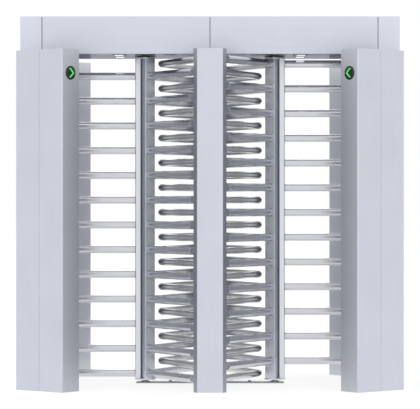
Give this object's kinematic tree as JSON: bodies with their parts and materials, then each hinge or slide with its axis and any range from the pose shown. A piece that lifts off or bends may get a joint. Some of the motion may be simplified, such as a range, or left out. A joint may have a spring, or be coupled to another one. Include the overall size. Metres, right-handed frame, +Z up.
{
  "type": "full height turnstile",
  "caption": "Twin full height turnstile with interleaved three-wing rotors, fixed combs, side cabinets and a header.",
  "frame": {"origin": "on the floor, midway between the two rotor axes and midway between front and rear", "axes": "+Z up, +X to the right as seen from the front, -Y is the front that faces the person coming in"},
  "size_m": [2.362, 1.69, 2.3],
  "materials": {
    "satin_panel": "satin stainless sheet",
    "grey_panel": "satin stainless sheet, shaded side",
    "polished_tube": "polished stainless tube",
    "plain_steel": "plain machined steel",
    "zinc_plate": "zinc plated",
    "dark_plastic": "glossy black",
    "lamp_lens": "frosted lens",
    "coil_housing": "moulded black"
  },
  "bodies": {
    "root": {"left_outer_wall": "satin_panel", "right_outer_wall": "satin_panel", "left_guide_wall": "grey_panel", "right_guide_wall": "grey_panel", "left_top_cap": "satin_panel", "right_top_cap": "satin_panel", "left_side_frame": "plain_steel", "right_side_frame": "plain_steel", "left_front_nose_cover": "satin_panel", "left_rear_nose_cover": "satin_panel", "right_front_nose_cover": "satin_panel", "right_rear_nose_cover": "satin_panel", "left_front_indicator": "dark_plastic", "left_rear_indicator": "dark_plastic", "right_front_indicator": "dark_plastic", "right_rear_indicator": "dark_plastic", "front_column": "satin_panel", "rear_column": "satin_panel", "left_comb": "polished_tube", "right_comb": "polished_tube", "overhead_tie": "zinc_plate", "floor_tie": "plain_steel", "left_floor_bearing": "zinc_plate", "right_floor_bearing": "zinc_plate", "left_mechanism_plate": "zinc_plate", "right_mechanism_plate": "zinc_plate", "left_top_bearing": "plain_steel", "right_top_bearing": "plain_steel", "left_lock_solenoid": "coil_housing", "right_lock_solenoid": "coil_housing", "header_pan": "grey_panel", "front_header_beam": "plain_steel", "rear_header_beam": "plain_steel", "left_header_hood": "satin_panel", "right_header_hood": "satin_panel", "left_hinge_rod": "zinc_plate", "right_hinge_rod": "zinc_plate", "left_header_end": "satin_panel", "right_header_end": "satin_panel", "left_lamp_frame": "dark_plastic", "right_lamp_frame": "dark_plastic", "left_lamp_lens": "lamp_lens", "right_lamp_lens": "lamp_lens", "control_unit": "coil_housing"},
    "left_rotor": {"left_rotor_core": "polished_tube", "left_wing_1": "polished_tube", "left_wing_2": "polished_tube", "left_wing_3": "polished_tube", "left_locking_wheel": "plain_steel"},
    "right_rotor": {"right_rotor_core": "polished_tube", "right_wing_1": "polished_tube", "right_wing_2": "polished_tube", "right_wing_3": "polished_tube", "right_locking_wheel": "plain_steel"},
    "left_pawl": {"left_lock_pawl": "plain_steel"},
    "right_pawl": {"right_lock_pawl": "plain_steel"},
    "left_plunger": {"left_solenoid_plunger": "zinc_plate"},
    "right_plunger": {"right_solenoid_plunger": "zinc_plate"},
    "left_lid": {"left_header_lid": "satin_panel"},
    "right_lid": {"right_header_lid": "satin_panel"}
  },
  "joints": [
    {"name": "left_rotor_spin", "type": "hinge", "parent": "root", "child": "left_rotor", "pos_m": [-0.41, 0, 1], "axis": [0, 0, 1], "continuous": true},
    {"name": "right_rotor_spin", "type": "hinge", "parent": "root", "child": "right_rotor", "pos_m": [0.41, 0, 1], "axis": [0, 0, 1], "continuous": true},
    {"name": "left_pawl_swing", "type": "hinge", "parent": "root", "child": "left_pawl", "pos_m": [-0.49, 0.118, 2.176], "axis": [0, 0, -1], "range_deg": [0, 9.3], "stiffness_Nm_per_rad": 0.5},
    {"name": "right_pawl_swing", "type": "hinge", "parent": "root", "child": "right_pawl", "pos_m": [0.49, 0.118, 2.176], "axis": [0, 0, 1], "range_deg": [0, 9.3], "stiffness_Nm_per_rad": 0.5},
    {"name": "left_plunger_travel", "type": "slide", "parent": "root", "child": "left_plunger", "axis": [0, 1, 0], "range_m": [0, 0.00617]},
    {"name": "right_plunger_travel", "type": "slide", "parent": "root", "child": "right_plunger", "axis": [0, 1, 0], "range_m": [0, 0.00617]},
    {"name": "left_lid_swing", "type": "hinge", "parent": "root", "child": "left_lid", "pos_m": [-0.523, -0.245, 2.295], "axis": [-1, 0, 0], "range_deg": [0, 85]},
    {"name": "right_lid_swing", "type": "hinge", "parent": "root", "child": "right_lid", "pos_m": [0.523, -0.245, 2.295], "axis": [-1, 0, 0], "range_deg": [0, 85]}
  ],
  "couplings": [
    {"joint": "left_plunger_travel", "follows": "left_pawl_swing", "m_per_rad": 0.038},
    {"joint": "right_plunger_travel", "follows": "right_pawl_swing", "m_per_rad": 0.038}
  ]
}
